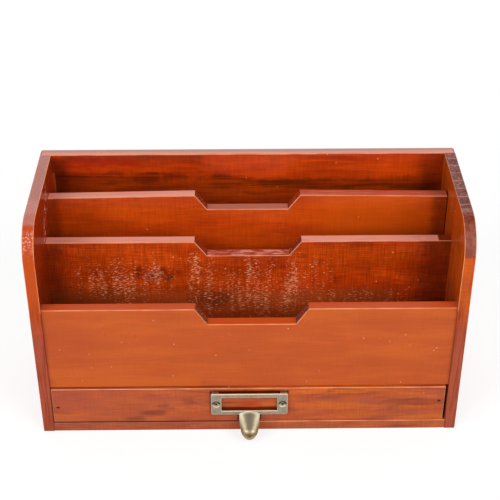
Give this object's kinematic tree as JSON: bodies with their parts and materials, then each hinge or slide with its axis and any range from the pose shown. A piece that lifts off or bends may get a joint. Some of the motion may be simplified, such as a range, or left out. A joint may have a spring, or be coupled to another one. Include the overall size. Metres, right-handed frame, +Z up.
{
  "type": "envelope sorter with drawer",
  "caption": "Stained wooden desk sorter: stepped upright letter slots with finger notches, round-cornered side panels and a shallow drawer with a brass card-frame pull.",
  "frame": {"origin": "on the desk surface, under the middle of the case's footprint (drawer pull left out)", "axes": "+X to the right along the drawer front, +Y to the back, +Z up; the drawer opens towards -Y"},
  "size_m": [0.33, 0.1403, 0.1895],
  "materials": {
    "stained_pine": "reddish brown stain under satin lacquer",
    "plywood": "thin bare plywood",
    "antique_brass": "antiqued cast brass, rubbed bright on its edges",
    "steel_wire": "plain wire"
  },
  "bodies": {
    "case": {"left_side_panel": "stained_pine", "right_side_panel": "stained_pine", "back_panel": "stained_pine", "front_panel": "stained_pine", "middle_divider": "stained_pine", "rear_divider": "stained_pine", "shelf_board": "stained_pine", "base_board": "stained_pine", "front_panel_brads": "steel_wire", "middle_divider_brads": "steel_wire", "rear_divider_brads": "steel_wire", "shelf_brads": "steel_wire", "base_brads": "steel_wire", "back_panel_brads": "steel_wire"},
    "drawer": {"drawer_front": "stained_pine", "drawer_left_side": "stained_pine", "drawer_right_side": "stained_pine", "drawer_back": "stained_pine", "drawer_bottom": "plywood", "card_pull": "antique_brass", "pull_screws": "antique_brass", "drawer_front_brads": "steel_wire", "drawer_back_brads": "steel_wire", "drawer_bottom_brads": "steel_wire"}
  },
  "joints": [
    {"name": "drawer_slide", "type": "slide", "parent": "case", "child": "drawer", "axis": [0, -1, 0], "range_m": [0, 0.1]}
  ]
}
